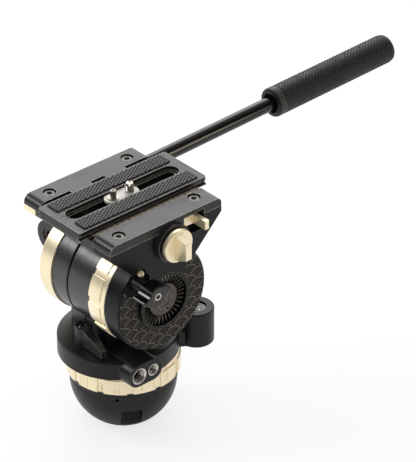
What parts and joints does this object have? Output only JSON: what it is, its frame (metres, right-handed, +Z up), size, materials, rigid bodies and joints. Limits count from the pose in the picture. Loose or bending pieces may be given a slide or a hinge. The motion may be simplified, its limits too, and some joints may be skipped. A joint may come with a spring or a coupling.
{
  "type": "fluid video head",
  "caption": "Two-axis fluid head on a half ball: drum between cheeks, drag dials, sliding camera plate and a pan handle",
  "frame": {"origin": "centre of the ball's flat base, on the pan axis, where the tripod bolt enters", "axes": "+Z up along the pan axis, -Y towards the lens end, +Y towards the pan handle's grip, +X towards the lock knobs; the tilt axis is along X"},
  "size_m": [0.1421, 0.3598, 0.1821],
  "materials": {
    "black": "matte black anodised aluminium",
    "gold": "champagne anodised aluminium, fine satin",
    "steel": "bright steel",
    "dark_steel": "black oxide steel, slightly glossy",
    "cap_metal": "warm dark grey anodised",
    "rubber": "matte rubber with a fine diamond pattern",
    "grip_rubber": "diamond-knurled rubber, warm dark grey",
    "gloss_black": "glossy black tube",
    "brass": "polished brass",
    "bronze": "plain bearing bronze",
    "vial": "clear vial with a pale green fill",
    "pale": "pale backing"
  },
  "bodies": {
    "base": {"half_ball": "black", "base_thread_insert": "steel", "pan_spindle": "steel", "pan_spindle_nut": "steel", "pan_stator_plates": "steel"},
    "pan": {"pan_housing": "black", "pan_bushing": "bronze", "pan_rotor_plates": "steel", "accessory_insert_large": "steel", "accessory_insert_small": "steel", "level_cup": "pale", "level_vial": "vial", "tilt_drum_near": "black", "tilt_drum_far": "black", "tilt_bushings": "bronze", "tilt_stator_plates": "steel", "counterbalance_spring": "steel"},
    "pan_dial": {"pan_drag_dial": "gold"},
    "tilt_dial": {"tilt_drag_dial": "gold"},
    "pan_lock": {"pan_lock_lever": "black", "pan_lock_screw": "dark_steel"},
    "tilt": {"near_cheek": "black", "far_cheek": "gold", "deck": "black", "near_rail": "black", "far_rail": "black", "rail_screws": "dark_steel", "tilt_axle": "steel", "tilt_rotor_plates": "steel", "near_rosette": "dark_steel", "far_rosette": "dark_steel", "pivot_cap": "cap_metal", "tilt_lock_boss": "black", "plate_lock_collar": "black", "index_pin": "brass"},
    "plate": {"camera_plate": "black", "plate_pads": "rubber"},
    "carrier": {"screw_carrier": "steel", "video_pin": "steel"},
    "camera_screw": {"camera_screw": "steel"},
    "plate_lock": {"plate_lock_knob": "gold"},
    "clamp": {"clamp_jaw": "black"},
    "release": {"release_lever": "gold"},
    "tilt_lock": {"tilt_lock_knob": "gloss_black", "tilt_lock_screw": "dark_steel"},
    "handle": {"handle_bracket": "black", "bracket_screw": "steel", "handle_rod": "gloss_black", "handle_grip": "grip_rubber", "grip_cap": "grip_rubber"},
    "handle_clamp": {"handle_clamp_knob": "black"}
  },
  "joints": [
    {"name": "pan", "type": "hinge", "parent": "base", "child": "pan", "pos_m": [0, 0, 0.0693], "axis": [0, 0, 1], "continuous": true},
    {"name": "tilt", "type": "hinge", "parent": "pan", "child": "tilt", "pos_m": [0, 0, 0.1133], "axis": [1, 0, 0], "range_deg": [-70, 90]},
    {"name": "pan_drag", "type": "hinge", "parent": "pan", "child": "pan_dial", "pos_m": [0, 0, 0.0479], "axis": [0, 0, 1], "range_deg": [-60, 60]},
    {"name": "tilt_drag", "type": "hinge", "parent": "pan", "child": "tilt_dial", "pos_m": [0.0188, 0, 0.1133], "axis": [1, 0, 0], "range_deg": [-60, 60]},
    {"name": "pan_lock", "type": "hinge", "parent": "pan", "child": "pan_lock", "pos_m": [-0.0033, -0.032, 0.0697], "axis": [0, 0, 1], "range_deg": [-30, 0]},
    {"name": "tilt_lock", "type": "hinge", "parent": "tilt", "child": "tilt_lock", "pos_m": [0.0586, -0.0228, 0.1355], "axis": [1, 0, 0], "range_deg": [0, 90]},
    {"name": "plate_slide", "type": "slide", "parent": "tilt", "child": "plate", "axis": [0, 1, 0], "range_m": [-0.03, 0.03]},
    {"name": "carrier_slide", "type": "slide", "parent": "plate", "child": "carrier", "axis": [0, 1, 0], "range_m": [-0.032, 0.034]},
    {"name": "camera_screw_turn", "type": "hinge", "parent": "carrier", "child": "camera_screw", "pos_m": [0, 0.00795, 0.176], "axis": [0, 0, 1], "continuous": true},
    {"name": "plate_lock_turn", "type": "hinge", "parent": "tilt", "child": "plate_lock", "pos_m": [0.0514, 0.0056, 0.1576], "axis": [1, 0, 0], "range_deg": [0, 75]},
    {"name": "clamp_travel", "type": "slide", "parent": "tilt", "child": "clamp", "axis": [1, 0, 0], "range_m": [0, 0.0015]},
    {"name": "release_swing", "type": "hinge", "parent": "tilt", "child": "release", "pos_m": [0.0398, 0.0208, 0.1644], "axis": [1, 0, 0], "range_deg": [-18, 0], "stiffness_Nm_per_rad": 0.05, "springref_deg": 5.73},
    {"name": "handle_angle", "type": "hinge", "parent": "tilt", "child": "handle", "pos_m": [-0.047, 0, 0.1133], "axis": [1, 0, 0], "range_deg": [-30, 30]},
    {"name": "handle_clamp", "type": "hinge", "parent": "handle", "child": "handle_clamp", "pos_m": [-0.0745, 0, 0.1133], "axis": [1, 0, 0], "range_deg": [0, 180]}
  ],
  "couplings": [
    {"joint": "clamp_travel", "follows": "plate_lock_turn", "m_per_rad": 0.0011459}
  ]
}
